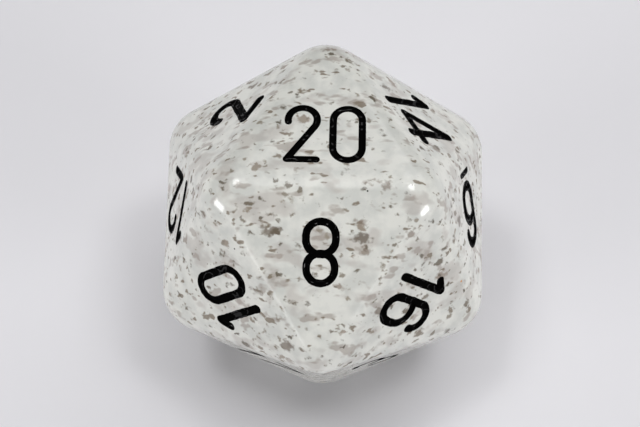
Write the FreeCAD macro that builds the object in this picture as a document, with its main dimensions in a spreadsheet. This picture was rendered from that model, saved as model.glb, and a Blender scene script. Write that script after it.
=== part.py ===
import FreeCAD, Part
import math
import os

# A jumbo twenty-sided die. One cast resin body, a regular icosahedron with
# rounded edges and corners, has a number engraved on each of its faces. The
# engraved strokes are round-bottomed grooves, and each one is lined with a
# coat of black paint that hardens into a piece of its own. The numbers on
# opposite faces add up to 21, and the 6 and the 9 are underlined.
#
# Frame: millimetres, +Z up. The die rests on the face numbered 1, whose
# centre is the origin, so 20 is on top and 8 slopes down towards -Y.

doc = FreeCAD.newDocument("TwentySidedDie")

# ---------------------------------------------------------------- sizes

driving_sizes = [
    ("across_flats", 34.0, "from any face to the opposite face"),
    ("edge_rounding", 4.8, "radius rolled round every edge and corner"),
    ("figure_height", 6.4, "height of a figure, between stroke centre lines"),
    ("figure_width", 3.0, "width of a round figure, between centre lines"),
    ("figure_gap", 1.65, "space between two figures, between centre lines"),
    ("upper_loop_width", 2.88, "width of the 8's smaller loop"),
    ("upper_loop_height", 3.12, "height of the 8's smaller loop"),
    ("waist_overlap", 0.12, "how far the 8's two loops cross at the waist"),
    ("loop_step", 0.02, "how much deeper the 8's larger loop is cut"),
    ("ring_height", 3.9, "height of the ring of the 6 and the 9"),
    ("belly_radius", 1.75, "radius of the arc that closes a ring or a 5"),
    ("flag_reach", 1.0, "how far the 1's flag goes to the left"),
    ("flag_drop", 1.05, "how far the 1's flag comes down"),
    ("one_bearing", 0.5, "extra room to the right of a 1"),
    ("four_bar_height", 1.2, "height of the 4's bar above its foot"),
    ("four_overhang", 1.1, "how far the 4's bar passes its upright"),
    ("four_tuck", 0.35, "how far a 4 tucks in towards its neighbour"),
    ("two_hook_angle", 10.0, "degrees that the 2's hook comes down past level"),
    ("three_hook_angle", 15.0, "degrees that the 3's hooks stop short of level"),
    ("three_waist_length", 0.5, "length of the short bar at the 3's waist"),
    ("five_bar_length", 2.7, "length of the 5's bar, between end centres"),
    ("five_hook_angle", 35.0, "degrees that the 5's belly stops short of level"),
    ("six_hook_angle", 5.0, "degrees that the 6's hook stops short of level"),
    ("ring_closing_angle", 3.0, "degrees that a ring's arc stops inside its side"),
    ("seven_foot_place", 0.5, "how far left of the middle the 7's foot stands"),
    ("cutter_radius", 0.39, "nose radius of the cutter for the figures"),
    ("groove_depth", 0.35, "depth of the figures' grooves"),
    ("bar_length", 2.4, "length of an underline, between end centres"),
    ("bar_drop", 1.55, "from a figure's foot to its underline"),
    ("bar_cutter_radius", 0.25, "nose radius of the cutter for underlines"),
    ("bar_groove_depth", 0.22, "depth of the underlines' grooves"),
    ("paint_recess", 0.04, "how far the paint's rim lies below the face"),
    ("paint_wall", 0.05, "thickness of the paint on a groove's walls"),
    ("paint_floor", 0.12, "thickness of the paint on a groove's floor"),
]

sizes = doc.addObject("Spreadsheet::Sheet", "Sizes")
for row, (alias, value, meaning) in enumerate(driving_sizes, start=1):
    sizes.set(f"A{row}", alias)
    sizes.set(f"B{row}", str(value))
    sizes.set(f"C{row}", meaning)
    sizes.setAlias(f"B{row}", alias)
doc.recompute()

# Lengths that more than one feature uses, as expressions on the sheet.
flat_height = "(Sizes.across_flats / 2)"
figure_top = "(Sizes.figure_height / 2)"
figure_foot = "(-Sizes.figure_height / 2)"
figure_side = "(Sizes.figure_width / 2)"
ring_half = "(Sizes.ring_height / 2)"
belly = "Sizes.belly_radius"


def add(kind, label, bindings):
    # A new feature whose properties follow expressions on the sheet.
    feature = doc.addObject(kind, label)
    feature.Label = label
    for prop, expression in bindings.items():
        feature.setExpression(prop, expression)
    return feature


# ---------------------------------------------------------------- blank

# The corners lie in four level triangles, three corners to each.
golden = (1 + math.sqrt(5)) / 2
corner_rings = {
    "top": (1.0, golden * golden / 2, ("back", 90), ("left", 210), ("right", 330)),
    "upper": (golden, 1 / golden / 2, ("front", 270), ("right", 30), ("left", 150)),
    "lower": (golden, -1 / golden / 2, ("back", 90), ("left", 210), ("right", 330)),
    "bottom": (1.0, -golden * golden / 2, ("front", 270), ("right", 30), ("left", 150)),
}
corners = {}
for ring, (reach, level, *places) in corner_rings.items():
    for side, turn in places:
        angle = math.radians(turn)
        corners[f"{ring} {side}"] = FreeCAD.Vector(
            reach * math.cos(angle), reach * math.sin(angle), level
        )

# Each number: the two corners below its figures, the corner above them, and
# how far its figures sit to the right of and above the face's centre.
numbered_faces = {
    1: ("bottom left", "bottom right", "bottom front", 0.0, 0.0),
    2: ("top left", "top back", "upper left", 0.1, 0.05),
    3: ("lower right", "bottom front", "upper front", 0.0, 0.0),
    4: ("upper right", "top back", "lower back", 0.0, 0.0),
    5: ("bottom left", "lower back", "upper left", 0.0, 0.0),
    6: ("top right", "upper right", "lower right", 0.0, 0.1),
    7: ("bottom left", "bottom front", "lower left", 0.0, 0.0),
    8: ("top left", "top right", "upper front", 0.05, 0.2),
    9: ("bottom right", "lower right", "upper right", 0.0, 0.1),
    10: ("top left", "upper front", "lower left", -0.5, 0.2),
    11: ("bottom right", "lower back", "upper right", 0.0, 0.0),
    12: ("top left", "upper left", "lower left", 0.1, -0.05),
    13: ("bottom left", "bottom right", "lower back", 0.0, 0.0),
    14: ("top right", "top back", "upper right", 0.5, 0.0),
    15: ("bottom left", "lower left", "upper left", 0.0, 0.0),
    16: ("top right", "upper front", "lower right", 0.4, 0.0),
    17: ("lower left", "bottom front", "upper front", 0.0, 0.0),
    18: ("upper left", "top back", "lower back", 0.0, 0.0),
    19: ("bottom right", "bottom front", "lower right", 0.0, 0.0),
    20: ("top left", "top right", "top back", 0.1, 0.0),
}


def face_frame(number):
    # Unit vectors of a face: to the right, up the figures, and outwards.
    first, second, third = [corners[name] for name in numbered_faces[number][:3]]
    outward = (first + second + third).normalize()
    upward = (third - (first + second) * 0.5).normalize()
    return upward.cross(outward), upward, outward


def along(direction, distance):
    # Base coordinates of a point that far from the die's centre.
    return {
        "Placement.Base.x": f"{direction.x:.12f} * ({distance})",
        "Placement.Base.y": f"{direction.y:.12f} * ({distance})",
        "Placement.Base.z": f"{direction.z:.12f} * ({distance}) + {flat_height}",
    }


# Ten thick round slabs, one across each pair of opposite faces, leave the
# sharp core of the die where they all overlap. The rounding is rolled on.
core_height = "(Sizes.across_flats - 2 * Sizes.edge_rounding)"
slabs = []
for number in range(11, 21):
    outward = face_frame(number)[2]
    slab = add("Part::Cylinder", f"slab_{number}", {
        "Radius": "Sizes.across_flats",
        "Height": core_height,
        **along(outward, f"-{core_height} / 2"),
    })
    slab.Placement.Rotation = FreeCAD.Rotation(FreeCAD.Vector(0, 0, 1), outward)
    slabs.append(slab)
core = doc.addObject("Part::MultiCommon", "sharp_core")
core.Shapes = slabs


def rolled(label, thickness):
    # The core with a layer of even thickness all round.
    layer = add("Part::Offset", label, {"Value": thickness})
    layer.Source = core
    layer.Mode = "Skin"
    layer.Join = "Arc"
    return layer


blank = rolled("blank", "Sizes.edge_rounding")
paint_limit = rolled("paint_limit", "Sizes.edge_rounding - Sizes.paint_recess")

# -------------------------------------------------------------- figures


class Nose:
    # The round nose of a cutter, moved along a figure's strokes. It lays down
    # one primitive for each stretch and fuses them into one solid. A figure is
    # drawn in the plane of its face, with X to the right and Y up.

    def __init__(self, name, radius, depth):
        self.name = name
        self.radius = f"({radius})"
        self.height = f"({radius} - ({depth}))"
        self.extra_depth = "0"
        self.pieces = []

    def _lay(self, kind, x, y, turn, bindings):
        label = f"{self.name}_{len(self.pieces) + 1}"
        height = f"{self.height} - {self.extra_depth}"
        where = f"placement(vector({x}; {y}; {height}); rotation({turn}))"
        self.pieces.append(add(kind, label, {**bindings, "Placement": where}))

    def dot(self, x, y):
        self._lay("Part::Sphere", x, y, "0; 0; 0", {"Radius": self.radius})

    def line(self, x, y, end_x, end_y):
        across = f"(({end_x}) - ({x}))"
        upward = f"(({end_y}) - ({y}))"
        self._lay("Part::Cylinder", x, y, f"atan2({upward}; {across}); 90; 0", {
            "Radius": self.radius,
            "Height": f"hypot({across}; {upward})",
        })

    def arc(self, x, y, radius, start, sweep):
        # Runs anticlockwise from the angle start.
        self._lay("Part::Torus", x, y, f"{start}; 0; 0", {
            "Radius1": radius,
            "Radius2": self.radius,
            "Angle3": sweep,
        })

    def arc_end(self, x, y, radius, angle, heading):
        # Half a ball that closes an arc; heading is +1 if the arc runs into
        # it anticlockwise and -1 if it runs into it clockwise.
        end_x = f"({x}) + ({radius}) * cos({angle})"
        end_y = f"({y}) + ({radius}) * sin({angle})"
        self._lay("Part::Sphere", end_x, end_y, f"({angle}) + {90 * heading} deg; 90; 0", {
            "Radius": self.radius,
            "Angle1": "0",
        })

    def loop(self, x, y, half_width, half_height):
        # A closed oval, fused by itself: two half rings, one above the other,
        # or side by side where the oval is wider than it is high.
        radius = f"min({half_width}; {half_height})"
        across = f"(({half_width}) - {radius})"
        upward = f"(({half_height}) - {radius})"
        tilt = f"(({half_height}) > ({half_width}) ? 0 deg : -90 deg)"
        right = f"({x}) + {across}"
        left = f"({x}) - {across}"
        top = f"({y}) + {upward}"
        foot = f"({y}) - {upward}"
        out_x = f"{radius} * cos({tilt})"
        out_y = f"{radius} * sin({tilt})"
        before = self.pieces
        self.pieces = []
        self.arc(right, top, radius, tilt, "180 deg")
        self.line(f"{right} - {out_x}", f"{top} - {out_y}", f"{left} - {out_x}", f"{foot} - {out_y}")
        self.arc(left, foot, radius, f"{tilt} + 180 deg", "180 deg")
        self.line(f"{left} + {out_x}", f"{foot} + {out_y}", f"{right} + {out_x}", f"{top} + {out_y}")
        self.pieces = before + [self._fuse(f"{self.name}_loop_{len(before) + 1}")]

    def _fuse(self, label):
        fused = doc.addObject("Part::MultiFuse", label)
        fused.Label = label
        fused.Shapes = self.pieces
        return fused

    def lift(self):
        # The whole figure as one object.
        if len(self.pieces) == 1:
            return self.pieces[0]
        return self._fuse(self.name)


def draw_zero(nose):
    nose.loop("0", "0", figure_side, figure_top)


def draw_one(nose):
    nose.dot("0", figure_foot)
    nose.line("0", figure_foot, "0", figure_top)
    nose.dot("0", figure_top)
    flag_end = f"{figure_top} - Sizes.flag_drop"
    nose.line("0", figure_top, "-Sizes.flag_reach", flag_end)
    nose.dot("-Sizes.flag_reach", flag_end)


def draw_two(nose):
    # A hook whose right end runs straight, without a kink, to the left foot.
    centre_y = f"({figure_top} - {figure_side})"
    rise = f"({centre_y} - {figure_foot})"
    reach = f"hypot({figure_side}; {rise})"
    leave = f"(atan2(-{rise}; -{figure_side}) + acos({figure_side} / {reach}))"
    hook = "(180 deg + Sizes.two_hook_angle * 1 deg)"
    nose.arc_end("0", centre_y, figure_side, hook, 1)
    nose.arc("0", centre_y, figure_side, leave, f"{hook} - {leave}")
    nose.line(f"{figure_side} * cos({leave})", f"{centre_y} + {figure_side} * sin({leave})",
              f"-{figure_side}", figure_foot)
    nose.dot(f"-{figure_side}", figure_foot)
    nose.line(f"-{figure_side}", figure_foot, figure_side, figure_foot)
    nose.dot(figure_side, figure_foot)


def draw_three(nose):
    # Two hooks that meet in a short bar at the waist.
    upper = "(Sizes.upper_loop_height / 2)"
    lower = f"({figure_top} - {upper})"
    upper_y = f"({figure_top} - {upper})"
    lower_y = f"({figure_foot} + {lower})"
    waist = f"({figure_top} - 2 * {upper})"
    short = "Sizes.three_hook_angle * 1 deg"
    nose.arc_end("0", upper_y, upper, f"180 deg - {short}", 1)
    nose.arc("0", upper_y, upper, "-90 deg", f"270 deg - {short}")
    nose.arc("0", lower_y, lower, f"180 deg + {short}", f"270 deg - {short}")
    nose.arc_end("0", lower_y, lower, f"180 deg + {short}", -1)
    nose.line("0", waist, "-Sizes.three_waist_length", waist)
    nose.dot("-Sizes.three_waist_length", waist)


def draw_four(nose):
    bar_y = f"({figure_foot} + Sizes.four_bar_height)"
    nose.dot(figure_side, figure_foot)
    nose.line(figure_side, figure_foot, figure_side, figure_top)
    nose.dot(figure_side, figure_top)
    nose.line(figure_side, figure_top, f"-{figure_side}", bar_y)
    nose.dot(f"-{figure_side}", bar_y)
    nose.line(f"-{figure_side}", bar_y, f"{figure_side} + Sizes.four_overhang", bar_y)
    nose.dot(f"{figure_side} + Sizes.four_overhang", bar_y)


# The arc of a belly meets the upright on its left at this angle.
belly_x = f"({figure_side} - {belly})"
belly_meets = f"acos((-{figure_side} - {belly_x}) / {belly})"


def draw_five(nose):
    belly_y = f"({figure_foot} + {belly})"
    meet_y = f"({belly_y} + {belly} * sin({belly_meets}))"
    hook = "(Sizes.five_hook_angle * 1 deg - 180 deg)"
    bar_end = f"(Sizes.five_bar_length - {figure_side})"
    nose.dot(bar_end, figure_top)
    nose.line(bar_end, figure_top, f"-{figure_side}", figure_top)
    nose.dot(f"-{figure_side}", figure_top)
    nose.line(f"-{figure_side}", figure_top, f"-{figure_side}", meet_y)
    nose.dot(f"-{figure_side}", meet_y)
    nose.arc(belly_x, belly_y, belly, hook, f"{belly_meets} - {hook}")
    nose.arc_end(belly_x, belly_y, belly, hook, -1)


def draw_six(nose):
    # A long left side with a hook over the top, and a ring at the foot. The
    # arc that closes the ring stops inside the left side's stroke.
    hook_y = f"({figure_top} - {figure_side})"
    ring_top = f"({figure_foot} + Sizes.ring_height)"
    belly_y = f"({ring_top} - {belly})"
    foot_y = f"({figure_foot} + {figure_side})"
    hook = "Sizes.six_hook_angle * 1 deg"
    nose.arc_end("0", hook_y, figure_side, hook, -1)
    nose.arc("0", hook_y, figure_side, hook, f"180 deg - {hook}")
    nose.line(f"-{figure_side}", hook_y, f"-{figure_side}", foot_y)
    nose.arc("0", foot_y, figure_side, "180 deg", "180 deg")
    nose.line(figure_side, foot_y, figure_side, belly_y)
    closing = f"{belly_meets} - Sizes.ring_closing_angle * 1 deg"
    nose.arc(belly_x, belly_y, belly, "0 deg", closing)


def draw_seven(nose):
    nose.dot(f"-{figure_side}", figure_top)
    nose.line(f"-{figure_side}", figure_top, figure_side, figure_top)
    nose.dot(figure_side, figure_top)
    nose.line(figure_side, figure_top, "-Sizes.seven_foot_place", figure_foot)
    nose.dot("-Sizes.seven_foot_place", figure_foot)


def draw_eight(nose):
    # Two loops that share the stroke at the waist; the lower one is larger.
    upper = "(Sizes.upper_loop_height / 2)"
    lower = f"({figure_top} - {upper} + Sizes.waist_overlap / 2)"
    nose.loop("0", f"{figure_top} - {upper}", "Sizes.upper_loop_width / 2", upper)
    nose.extra_depth = "Sizes.loop_step"
    nose.loop("0", f"{figure_foot} + {lower}", figure_side, lower)


def draw_bar(nose):
    nose.dot("-Sizes.bar_length / 2", "0")
    nose.line("-Sizes.bar_length / 2", "0", "Sizes.bar_length / 2", "0")
    nose.dot("Sizes.bar_length / 2", "0")


drawings = {
    "0": draw_zero, "1": draw_one, "2": draw_two, "3": draw_three, "4": draw_four,
    "5": draw_five, "6": draw_six, "7": draw_seven, "8": draw_eight, "bar": draw_bar,
}

# The cutter makes the groove. The hollow is the same path with a smaller
# nose, and is the open space that the coat of paint leaves in the groove.
cutters = {}
hollows = {}
for sign, draw in drawings.items():
    if sign == "bar":
        radius = "Sizes.bar_cutter_radius"
        depth = "Sizes.bar_groove_depth"
    else:
        radius = "Sizes.cutter_radius"
        depth = "Sizes.groove_depth"
    cutter = Nose(f"cutter_{sign}", radius, depth)
    draw(cutter)
    cutters[sign] = cutter.lift()
    inside = Nose(f"hollow_{sign}", f"{radius} - Sizes.paint_wall", f"{depth} - Sizes.paint_floor")
    draw(inside)
    hollows[sign] = inside.lift()

# -------------------------------------------------------------- numbers


def figure_edges(sign):
    # How far a figure reaches to the left and to the right of its own origin.
    if sign == "1":
        return "(-Sizes.flag_reach)", "Sizes.one_bearing"
    if sign == "4":
        return f"(Sizes.four_tuck - {figure_side})", f"({figure_side} + Sizes.four_overhang)"
    return f"(-{figure_side})", figure_side


def figure_places(number):
    # Each mark on a face: its name, its drawing, its place, and its turn. A 9
    # is a 6 turned upside down.
    signs = str(number)
    name = f"paint_{number:02d}"
    if len(signs) == 1:
        places = [(name, signs, "0", figure_foot)]
    else:
        left_in, left_out = figure_edges(signs[0])
        right_in, right_out = figure_edges(signs[1])
        width = f"({left_out} - {left_in} + Sizes.figure_gap + {right_out} - {right_in})"
        places = [
            (f"{name}_tens", signs[0], f"(-{width} / 2 - {left_in})", figure_foot),
            (f"{name}_units", signs[1], f"({width} / 2 - {right_out})", figure_foot),
        ]
    marks = []
    for label, sign, x, foot in places:
        if sign == "9":
            marks.append((label, "6", x, "0", 180))
        else:
            marks.append((label, sign, x, "0", 0))
    if signs in ("6", "9"):
        marks.append((f"{name}_bar", "bar", "0", f"{figure_foot} - Sizes.bar_drop", 0))
    return marks


def on_face(label, source, number, x, y, turn):
    # A copy of a drawn figure, laid on its face.
    right, upward, outward = face_frame(number)
    nudge_right, nudge_up = numbered_faces[number][3:]
    base = {}
    for axis in "xyz":
        term_right = f"{getattr(right, axis):.12f} * ({x} + {nudge_right})"
        term_up = f"{getattr(upward, axis):.12f} * ({y} + {nudge_up})"
        term_out = f"{getattr(outward, axis):.12f} * {flat_height}"
        base[f"Placement.Base.{axis}"] = f"{term_right} + {term_up} + {term_out}"
    base["Placement.Base.z"] += f" + {flat_height}"
    copy = add("Part::Compound", label, base)
    copy.Links = [source]
    spin = FreeCAD.Rotation(FreeCAD.Vector(0, 0, 1), turn)
    copy.Placement.Rotation = FreeCAD.Rotation(right, upward, outward, "ZXY").multiply(spin)
    return copy


grooves = []
paints = []
for number in numbered_faces:
    for label, sign, x, y, turn in figure_places(number):
        groove = on_face(f"groove_{label}", cutters[sign], number, x, y, turn)
        hollow = on_face(f"hollow_{label}", hollows[sign], number, x, y, turn)
        filled = doc.addObject("Part::Common", f"filled_{label}")
        filled.Base = groove
        filled.Tool = paint_limit
        paint = doc.addObject("Part::Cut", label)
        paint.Label = label
        paint.Base = filled
        paint.Tool = hollow
        grooves.append(groove)
        paints.append(paint)

all_grooves = doc.addObject("Part::Compound", "all_grooves")
all_grooves.Links = grooves
body = doc.addObject("Part::Cut", "die_body")
body.Label = "die_body"
body.Base = blank
body.Tool = all_grooves

# --------------------------------------------------------------- output

doc.recompute()
for feature in doc.Objects:
    if "Invalid" in feature.State or "Error" in feature.State:
        raise RuntimeError(f"{feature.Label} did not build: {feature.State}")
sub_parts = [body] + paints
for sub_part in sub_parts:
    if sub_part.Shape.isNull() or not sub_part.Shape.isValid():
        raise RuntimeError(f"{sub_part.Label} has no valid shape")
    if len(sub_part.Shape.Solids) != 1:
        raise RuntimeError(f"{sub_part.Label} is {len(sub_part.Shape.Solids)} solids")

os.makedirs("parts", exist_ok=True)
for sub_part in sub_parts:
    sub_part.Shape.exportStep(f"parts/{sub_part.Label}.step")
    print(f"{sub_part.Label}: {sub_part.Shape.Volume:.3f} mm3")
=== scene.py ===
import math

import bmesh
import bpy
from mathutils import Matrix, Vector, noise


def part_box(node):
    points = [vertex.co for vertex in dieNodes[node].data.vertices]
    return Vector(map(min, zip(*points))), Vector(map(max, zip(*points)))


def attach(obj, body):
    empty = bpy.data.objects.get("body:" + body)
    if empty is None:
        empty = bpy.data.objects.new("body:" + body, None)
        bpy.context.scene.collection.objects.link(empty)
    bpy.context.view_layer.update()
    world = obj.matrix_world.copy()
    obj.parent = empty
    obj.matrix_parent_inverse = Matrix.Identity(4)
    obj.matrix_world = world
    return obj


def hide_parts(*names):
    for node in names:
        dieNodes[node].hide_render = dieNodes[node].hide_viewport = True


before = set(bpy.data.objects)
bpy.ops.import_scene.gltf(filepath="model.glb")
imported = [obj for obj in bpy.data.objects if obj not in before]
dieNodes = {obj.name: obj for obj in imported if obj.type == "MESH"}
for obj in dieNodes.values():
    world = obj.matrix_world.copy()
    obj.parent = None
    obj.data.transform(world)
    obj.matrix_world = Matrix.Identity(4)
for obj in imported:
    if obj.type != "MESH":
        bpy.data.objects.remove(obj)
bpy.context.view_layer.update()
print("frame loaded:", len(dieNodes), "nodes")

mmPerMetre = 1000


def deselectAll():
    for item in bpy.context.selected_objects:
        item.select_set(False)


# sums on shader sockets read as plain arithmetic
class Wire:
    def __init__(self, shader, socket):
        self.shader = shader
        self.socket = socket

    def maths(self, operation, *values, clamp=False):
        settings = {"operation": operation, "use_clamp": clamp}
        return self.shader.node("ShaderNodeMath", settings, dict(enumerate(values)))

    def __add__(self, other):
        return self.maths("ADD", self, other)

    def __radd__(self, other):
        return self.maths("ADD", other, self)

    def __sub__(self, other):
        return self.maths("SUBTRACT", self, other)

    def __rsub__(self, other):
        return self.maths("SUBTRACT", other, self)

    def __mul__(self, other):
        return self.maths("MULTIPLY", self, other)

    def __rmul__(self, other):
        return self.maths("MULTIPLY", other, self)

    def __truediv__(self, other):
        return self.maths("DIVIDE", self, other)

    def __lt__(self, other):
        return self.maths("LESS_THAN", self, other)

    def near(self, other, margin):
        return self.maths("COMPARE", self, other, margin)

    def clamped(self):
        return self.maths("ADD", self, 0.0, clamp=True)


class Shader:
    def __init__(self, name):
        self.material = bpy.data.materials.new(name)
        self.material.use_nodes = True
        self.tree = self.material.node_tree
        self.tree.nodes.clear()

    def node(self, kind, settings, values, output=0):
        made = self.tree.nodes.new(kind)
        for key, value in settings.items():
            setattr(made, key, value)
        for key, value in values.items():
            if isinstance(value, Wire):
                self.tree.links.new(value.socket, made.inputs[key])
            else:
                made.inputs[key].default_value = value
        if output is None:
            return made
        return Wire(self, made.outputs[output])

    def place(self, turn=(0, 0, 0), stretch=(1, 1, 1), shift=(0, 0, 0), wander=None):
        # the point on the object, in millimetres over stretch
        raw = self.node("ShaderNodeTexCoord", {}, {}, "Object")
        if wander:
            raw = self.node("ShaderNodeVectorMath", {"operation": "ADD"}, {0: raw, 1: wander})
        return self.node("ShaderNodeMapping", {"vector_type": "POINT"}, {
            "Vector": raw, "Location": shift, "Rotation": turn,
            "Scale": tuple(mmPerMetre / part for part in stretch),
        })

    def noise(self, place, scale, detail, roughness, output="Fac"):
        return self.node("ShaderNodeTexNoise", {}, {
            "Vector": place, "Scale": scale, "Detail": detail, "Roughness": roughness,
        }, output)

    def mixColour(self, factor, first, second):
        # on a colour mix, inputs 6 and 7 are the colours and output 2 is the result
        return self.node("ShaderNodeMix", {"data_type": "RGBA"}, {
            "Factor": factor, 6: first, 7: second,
        }, 2)

    def bump(self, height, depth):
        # depth in millimetres
        return self.node("ShaderNodeBump", {}, {
            "Height": height, "Distance": depth / mmPerMetre, "Strength": 1.0,
        })

    def finish(self, values):
        shader = self.node("ShaderNodeBsdfPrincipled", {}, values)
        self.node("ShaderNodeOutputMaterial", {}, {"Surface": shader}, None)
        return self.material


def srgb(red, green, blue):
    def straight(level):
        level = level / 255
        return level / 12.92 if level <= 0.04045 else ((level + 0.055) / 1.055) ** 2.4
    return (straight(red), straight(green), straight(blue), 1.0)


# resin: off-white milk with soft clouds, crisp flakes and specks of several sizes
# each noise is its scale per mm or per cloud, its detail and its roughness
resin = {
    "milk": srgb(220, 220, 214),
    "greyMilk": srgb(204, 205, 200),
    "milkNoise": (0.5, 3.0, 0.55),
    "milkLevel": 0.40,
    "milkEdge": 0.22,
    "roughness": 0.15,
    "index": 1.52,             # refractive index
    "polish": 0.012,           # height of the polish marks, mm
    "polishNoise": (1.6, 3.0, 0.55),
    "cloudNoise": (1.0, 2.4, 0.55),
    "cloudShift": (4.0, 9.0, 2.0),
    "raggedNoise": (1.7, 1.6, 0.5),
    "ragged": 0.36,            # how uneven a flake's outline is
    "driftNoise": (0.9, 3.0, 0.6),
    "drift": 0.0016,           # how far flakes are pulled out of shape, m
    "flakeShift": (7.3, 3.1, 5.7),
    "speckTurn": (0.4, 0.2, 0.9),
    "speckShift": (11.0, 2.0, 4.0),
    "speckEdge": 0.3,          # softness and unevenness, as a share of the radius
}
clouds = [
    # size in mm; noise level at which a cloud begins; width of its edge
    {"size": 2.8, "stretch": (1.5, 0.9, 1.0), "turn": (0.2, 0.1, 0.1),
     "level": 0.59, "edge": 0.08, "cover": 0.40, "tone": srgb(168, 158, 152)},
    {"size": 1.8, "stretch": (1.7, 0.8, 1.0), "turn": (0.1, 0.4, -0.15),
     "level": 0.62, "edge": 0.06, "cover": 0.60, "tone": srgb(149, 137, 128)},
    {"size": 1.1, "stretch": (1.6, 0.85, 1.0), "turn": (0.3, 0.2, 0.2),
     "level": 0.655, "edge": 0.055, "cover": 0.90, "tone": srgb(126, 114, 98)},
]
flakes = [
    # cell in mm; share of cells with a flake; least radius and its spread, of the cell
    {"cell": 2.7, "stretch": (1.6, 0.85, 1.0), "turn": (0.3, 0.5, 0.2),
     "kept": 0.38, "least": 0.08, "spread": 0.17, "edge": 0.12, "cover": 0.80,
     "dark": srgb(98, 87, 74), "light": srgb(150, 136, 124)},
    {"cell": 1.6, "stretch": (1.4, 0.9, 1.0), "turn": (1.1, 0.2, -0.3),
     "kept": 0.46, "least": 0.07, "spread": 0.22, "edge": 0.15, "cover": 0.92,
     "dark": srgb(82, 73, 57), "light": srgb(150, 138, 124)},
    {"cell": 0.9, "stretch": (1.3, 1.0, 1.0), "turn": (0.6, 0.5, 0.9),
     "kept": 0.62, "least": 0.07, "spread": 0.23, "edge": 0.20, "cover": 0.88,
     "dark": srgb(82, 73, 58), "light": srgb(152, 143, 129)},
]
specks = [
    # cell and radius in mm
    {"cell": 2.4, "kept": 0.30, "radius": 0.11, "tone": srgb(40, 38, 34)},
    {"cell": 4.2, "kept": 0.40, "radius": 0.15, "tone": srgb(205, 196, 84)},
    {"cell": 5.5, "kept": 0.30, "radius": 0.13, "tone": srgb(206, 140, 60)},
]


def cells(shader, place):
    # distance to the nearest centre, and three numbers that belong to that centre
    made = shader.node("ShaderNodeTexVoronoi", {}, {"Vector": place, "Scale": 1.0}, None)
    colour = Wire(shader, made.outputs["Color"])
    split = shader.node("ShaderNodeSeparateColor", {}, {"Color": colour}, None)
    chances = [Wire(shader, output) for output in split.outputs]
    return Wire(shader, made.outputs["Distance"]), chances


def addClouds(shader, colour):
    shiftX, shiftY, shiftZ = resin["cloudShift"]
    for index, layer in enumerate(clouds):
        size = tuple(layer["size"] * part for part in layer["stretch"])
        place = shader.place(layer["turn"], size, (shiftX * index, shiftY, shiftZ * index))
        level = shader.noise(place, *resin["cloudNoise"])
        shape = ((level - layer["level"]) / layer["edge"] + 0.5).clamped()
        colour = shader.mixColour(shape * layer["cover"], colour, layer["tone"])
    return colour


def addFlakes(shader, colour, ragged, wander):
    for index, layer in enumerate(flakes):
        size = tuple(layer["cell"] * part for part in layer["stretch"])
        shift = tuple(part * index for part in resin["flakeShift"])
        place = shader.place(layer["turn"], size, shift, wander)
        distance, (chance, growth, shade) = cells(shader, place)
        radius = growth * layer["spread"] + layer["least"]
        shape = ((radius - distance + ragged * resin["ragged"]) / layer["edge"] + 0.5).clamped()
        tone = shader.mixColour(shade, layer["dark"], layer["light"])
        colour = shader.mixColour(shape * (chance < layer["kept"]) * layer["cover"], colour, tone)
    return colour


def addSpecks(shader, colour, ragged):
    turnX, turnY, turnZ = resin["speckTurn"]
    shiftX, shiftY, shiftZ = resin["speckShift"]
    for index, layer in enumerate(specks):
        place = shader.place((turnX, turnY, turnZ * index), (layer["cell"],) * 3,
                             (shiftX * index, shiftY, shiftZ))
        distance, chances = cells(shader, place)
        radius = layer["radius"] / layer["cell"]
        edge = resin["speckEdge"] * radius
        shape = ((radius - distance + ragged * edge) / edge + 0.5).clamped()
        colour = shader.mixColour(shape * (chances[0] < layer["kept"]), colour, layer["tone"])
    return colour


def makeResin():
    shader = Shader("speckledResin")
    plain = shader.place()
    ragged = shader.noise(plain, *resin["raggedNoise"]) - 0.5
    drift = shader.noise(plain, *resin["driftNoise"], "Color")
    wander = shader.node("ShaderNodeVectorMath", {"operation": "SCALE"}, {
        "Vector": drift, "Scale": resin["drift"],
    })
    milkiness = shader.noise(plain, *resin["milkNoise"])
    milkiness = ((milkiness - resin["milkLevel"]) / resin["milkEdge"]).clamped()
    colour = shader.mixColour(milkiness, resin["milk"], resin["greyMilk"])
    colour = addClouds(shader, colour)
    colour = addFlakes(shader, colour, ragged, wander)
    colour = addSpecks(shader, colour, ragged)
    marks = shader.noise(plain, *resin["polishNoise"])
    return shader.finish({
        "Base Color": colour, "Roughness": resin["roughness"], "IOR": resin["index"],
        "Normal": shader.bump(marks, resin["polish"]),
    })


# paint: black, with a few thin glints
paint = {
    "black": (0.0008, 0.0008, 0.0009, 1.0),
    "worn": (0.003, 0.0028, 0.0026, 1.0),
    "patchNoise": (1.4, 3.0, 0.6),
    "smooth": 0.06,            # least roughness
    "uneven": 0.16,            # the most that the patches add to it
    "index": 1.5,              # refractive index
    "gloss": 0.003,
    "ripple": 0.015,           # height of the ripples, mm
    "rippleNoise": (2.6, 2.0, 0.5),
    "glint": 0.4,              # strength of the glints
    "glintWidth": 0.02,        # as a share of the noise
    "glintNoise": (0.55, 0.0, 0.5),
    "glintRoughness": 0.08,
}


def makePaint():
    shader = Shader("blackPaint")
    plain = shader.place()
    patches = shader.noise(plain, *paint["patchNoise"])
    ripple = shader.noise(plain, *paint["rippleNoise"])
    wave = shader.noise(plain, *paint["glintNoise"])
    return shader.finish({
        "Base Color": shader.mixColour(patches, paint["black"], paint["worn"]),
        "Roughness": patches * paint["uneven"] + paint["smooth"],
        "Normal": shader.bump(ripple, paint["ripple"]),
        "IOR": paint["index"], "Specular IOR Level": paint["gloss"],
        "Coat Weight": wave.near(0.5, paint["glintWidth"]) * paint["glint"],
        "Coat Roughness": paint["glintRoughness"],
    })


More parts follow.
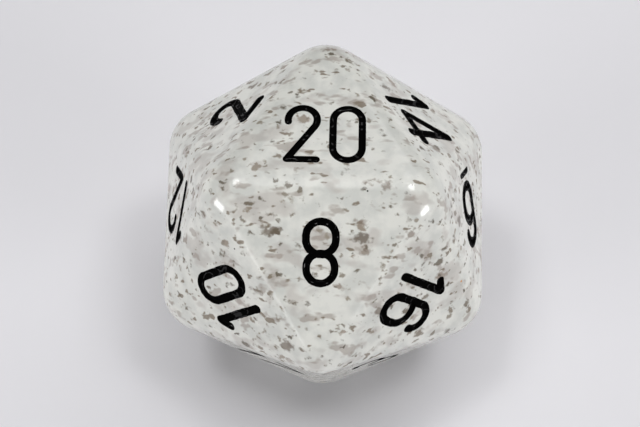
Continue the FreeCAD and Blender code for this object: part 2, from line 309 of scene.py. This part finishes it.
# coat of paint: the CAD coats, brushed a little over their rims; all sizes in metres
coat = {
    "lip": 0.000004,           # how far the paint stands above the resin at its outline
    "innerLip": 0.000002,      # and along the inside of its rim
    "levelFaces": (1, 20),     # bottom and top: not spread, and kept just below the face
    "levelLip": -0.000001,
    "usual": 0.00006,          # how far it spreads past the groove
    "spread": {8: 0.000008, 10: 0.00011, 16: 0.00010, 14: 0.00016, 2: 0.00020,
               6: 0.00020, 12: 0.00011},
    "ragged": 0.00006,         # unevenness of its edge
    "raggedShare": 0.7,        # of each wave in it
    "waves": (900, 2600),      # per metre
    "stretch": 0.00011,        # longest straight stretch of the edge
    "rimDepth": 0.000002,      # the rim lies within this of the paint's highest point
    "rimSlope": 0.9,           # and faces this nearly outwards
    "wallSlope": 0.1,          # the groove's wall faces no more outwards than this
    "join": 0.0000001,         # vertices nearer than this are one
    "smoothAngle": 40,         # degrees
}
flat = {"margin": 0.00001, "leastArea": 0.0000001, "sameFace": 0.99}
dieLow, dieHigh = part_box("die_body")
dieCentre = Vector((0, 0, 0.5 * (dieLow.z + dieHigh.z)))
flatHeight = 0.5 * (dieHigh.z - dieLow.z)


def findFaces():
    # one outward direction for each flat face of the die
    found = []
    for polygon in dieNodes["die_body"].data.polygons:
        normal = polygon.normal
        away = (polygon.center - dieCentre).dot(normal) - flatHeight
        if abs(away) < flat["margin"] and polygon.area > flat["leastArea"]:
            if not any(normal.dot(other) > flat["sameFace"] for other in found):
                found.append(normal.copy())
    return found


def copyNode(node):
    # a merged copy of a paint node, left open in edit mode
    deselectAll()
    piece = node.copy()
    piece.data = node.data.copy()
    piece.name = node.name.replace("paint", "coat")
    bpy.context.scene.collection.objects.link(piece)
    bpy.context.view_layer.objects.active = piece
    piece.select_set(True)
    bpy.ops.object.mode_set(mode="EDIT")
    bpy.ops.mesh.select_all(action="SELECT")
    bpy.ops.mesh.remove_doubles(threshold=coat["join"])
    bpy.ops.mesh.customdata_custom_splitnormals_clear()
    return piece


def spreadPaint(node, number, normals):
    piece = copyNode(node)
    shape = bmesh.from_edit_mesh(piece.data)
    middle = sum((vertex.co for vertex in shape.verts), Vector()) / len(shape.verts) - dieCentre
    up = max(normals, key=middle.dot)

    def height(point):
        return (point - dieCentre).dot(up) - flatHeight

    top = max(height(vertex.co) for vertex in shape.verts)
    isLevel = number in coat["levelFaces"]
    lip = coat["levelLip"] if isLevel else coat["lip"]
    innerLip = coat["levelLip"] if isLevel else coat["innerLip"]

    def onRim(face):
        if face.normal.dot(up) <= coat["rimSlope"]:
            return False
        return all(height(vertex.co) > top - coat["rimDepth"] for vertex in face.verts)

    def rimEdges(outside):
        # the rim's edges along the outline of the figure, or else along its inside
        for edge in shape.edges:
            if len(edge.link_faces) == 2:
                first, second = edge.link_faces
                if onRim(first) != onRim(second):
                    wall = second if onRim(first) else first
                    if (wall.normal.dot(up) < coat["wallSlope"]) == outside:
                        yield edge

    longOnes = [edge for edge in rimEdges(True) if edge.calc_length() > coat["stretch"]]
    for edge in longOnes:
        cuts = int(edge.calc_length() / coat["stretch"])
        bmesh.ops.subdivide_edges(shape, edges=[edge], cuts=cuts)
    shape.normal_update()
    outer = {vertex for edge in rimEdges(True) for vertex in edge.verts}
    inner = {vertex for edge in rimEdges(False) for vertex in edge.verts}

    def reach(point):
        # how far the paint spreads at this point of its outline
        if isLevel:
            return 0
        rough = sum(noise.noise(point * wave) for wave in coat["waves"]) * coat["raggedShare"]
        return max(coat["spread"].get(number, coat["usual"]) + coat["ragged"] * rough, 0)

    moves = []
    for vertex in outer:
        away = Vector()
        for face in vertex.link_faces:
            if not onRim(face) and face.normal.dot(up) < coat["wallSlope"]:
                away += face.normal - up * face.normal.dot(up)
        away.normalize()
        moves.append((vertex, away * reach(vertex.co) + up * (lip - height(vertex.co))))
    for vertex in inner - outer:
        moves.append((vertex, up * (innerLip - height(vertex.co))))
    for vertex, move in moves:
        vertex.co += move
    bmesh.update_edit_mesh(piece.data)
    bpy.ops.object.mode_set(mode="OBJECT")
    bpy.ops.object.shade_smooth_by_angle(angle=math.radians(coat["smoothAngle"]))
    return piece


resinMaterial = makeResin()
paintMaterial = makePaint()
normals = findFaces()
print("flat faces:", len(normals))
for name, node in list(dieNodes.items()):
    if name == "die_body":
        node.data.materials.clear()
        node.data.materials.append(resinMaterial)
        continue
    faceNumber = int(name.split("_")[1])
    piece = spreadPaint(node, faceNumber, normals)
    piece.data.materials.clear()
    piece.data.materials.append(paintMaterial)
    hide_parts(name)
    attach(piece, "root")
    print(piece.name, len(piece.data.polygons), "faces")
print("paint done")

# floor and sky
studio = {
    "floorSize": 3.0,
    "floor": srgb(235, 234, 238),
    "floorShade": srgb(233, 232, 236),
    "floorNoise": (0.01, 2.0, 0.5),
    "floorRoughness": 0.8,
    "sky": (0.93, 0.94, 0.97, 1.0),
    "skyStrength": 0.05,
    "lampPower": 4,            # watts per square metre of lamp at a glow of 1
}
lamps = {
    # where the light comes from, in degrees and metres; its sides; its brightness
    "overhead": {"azimuth": 0, "elevation": 89, "distance": 0.60,
                 "width": 0.40, "height": 0.20, "glow": 1.65},
    "backHigh": {"azimuth": -8, "elevation": 68, "distance": 0.60,
                 "width": 0.50, "height": 0.30, "glow": 1.0},
    "backRight": {"azimuth": 40, "elevation": 48, "distance": 0.60,
                  "width": 0.35, "height": 0.35, "glow": 1.3},
    "leftHigh": {"azimuth": -85, "elevation": 70, "distance": 0.60,
                 "width": 0.16, "height": 0.13, "glow": 7.6},
    "rightHigh": {"azimuth": 92, "elevation": 67, "distance": 0.60,
                  "width": 0.16, "height": 0.13, "glow": 7.6},
    "leftLow": {"azimuth": -119, "elevation": 7.5, "distance": 0.90,
                "width": 0.40, "height": 0.22, "glow": 11.0},
    "rightLow": {"azimuth": 123, "elevation": 7.5, "distance": 0.90,
                 "width": 0.36, "height": 0.22, "glow": 12.0},
    "leftStrip": {"azimuth": -143, "elevation": 5, "distance": 0.90,
                  "width": 0.22, "height": 0.09, "glow": 2.7},
    "rightStrip": {"azimuth": 146, "elevation": 5, "distance": 0.90,
                   "width": 0.22, "height": 0.09, "glow": 1.8},
}
camera = {"azimuth": 1.724, "elevation": 58.321, "roll": -0.254, "distance": 0.150976,
          "aim": (-0.00047, 0.00087, 0.017), "lens": 74.7, "sensor": 36.0}


def buildFloor():
    deselectAll()
    bpy.ops.mesh.primitive_plane_add(size=studio["floorSize"], location=(0, 0, 0))
    floor = bpy.context.object
    floor.name = "floor"
    shader = Shader("paperFloor")
    tone = shader.noise(shader.place(), *studio["floorNoise"])
    floor.data.materials.append(shader.finish({
        "Base Color": shader.mixColour(tone, studio["floor"], studio["floorShade"]),
        "Roughness": studio["floorRoughness"],
    }))


def direction(azimuth, elevation):
    # azimuth 0 is towards +Y and grows towards +X
    turn, rise = math.radians(azimuth), math.radians(elevation)
    level = math.cos(rise)
    return Vector((math.sin(turn) * level, math.cos(turn) * level, math.sin(rise)))


def hangLamps():
    for name, lamp in lamps.items():
        light = bpy.data.lights.new(name, "AREA")
        light.shape = "RECTANGLE"
        light.size = lamp["width"]
        light.size_y = lamp["height"]
        light.energy = studio["lampPower"] * lamp["glow"] * lamp["width"] * lamp["height"]
        item = bpy.data.objects.new(name, light)
        bpy.context.scene.collection.objects.link(item)
        away = direction(lamp["azimuth"], lamp["elevation"])
        item.location = dieCentre + away * lamp["distance"]
        item.rotation_euler = away.to_track_quat("Z", "Y").to_euler()


def paintSky():
    world = bpy.data.worlds.new("studioSky")
    bpy.context.scene.world = world
    world.use_nodes = True
    background = world.node_tree.nodes["Background"]
    background.inputs["Color"].default_value = studio["sky"]
    background.inputs["Strength"].default_value = studio["skyStrength"]


def aimCamera():
    # the camera stands on the -Y side, and its azimuth grows towards +X
    back = direction(180 - camera["azimuth"], camera["elevation"])
    data = bpy.data.cameras.new("camera")
    data.sensor_width = camera["sensor"]
    data.lens = camera["lens"]
    item = bpy.data.objects.new("camera", data)
    bpy.context.scene.collection.objects.link(item)
    level = (-back).to_track_quat("-Z", "Y").to_matrix().to_4x4()
    roll = Matrix.Rotation(math.radians(camera["roll"]), 4, "Z")
    stand = Matrix.Translation(Vector(camera["aim"]) + back * camera["distance"])
    item.matrix_world = stand @ level @ roll
    bpy.context.scene.camera = item


buildFloor()
hangLamps()
paintSky()
aimCamera()
bpy.context.scene.view_settings.view_transform = "Standard"
print("studio done")
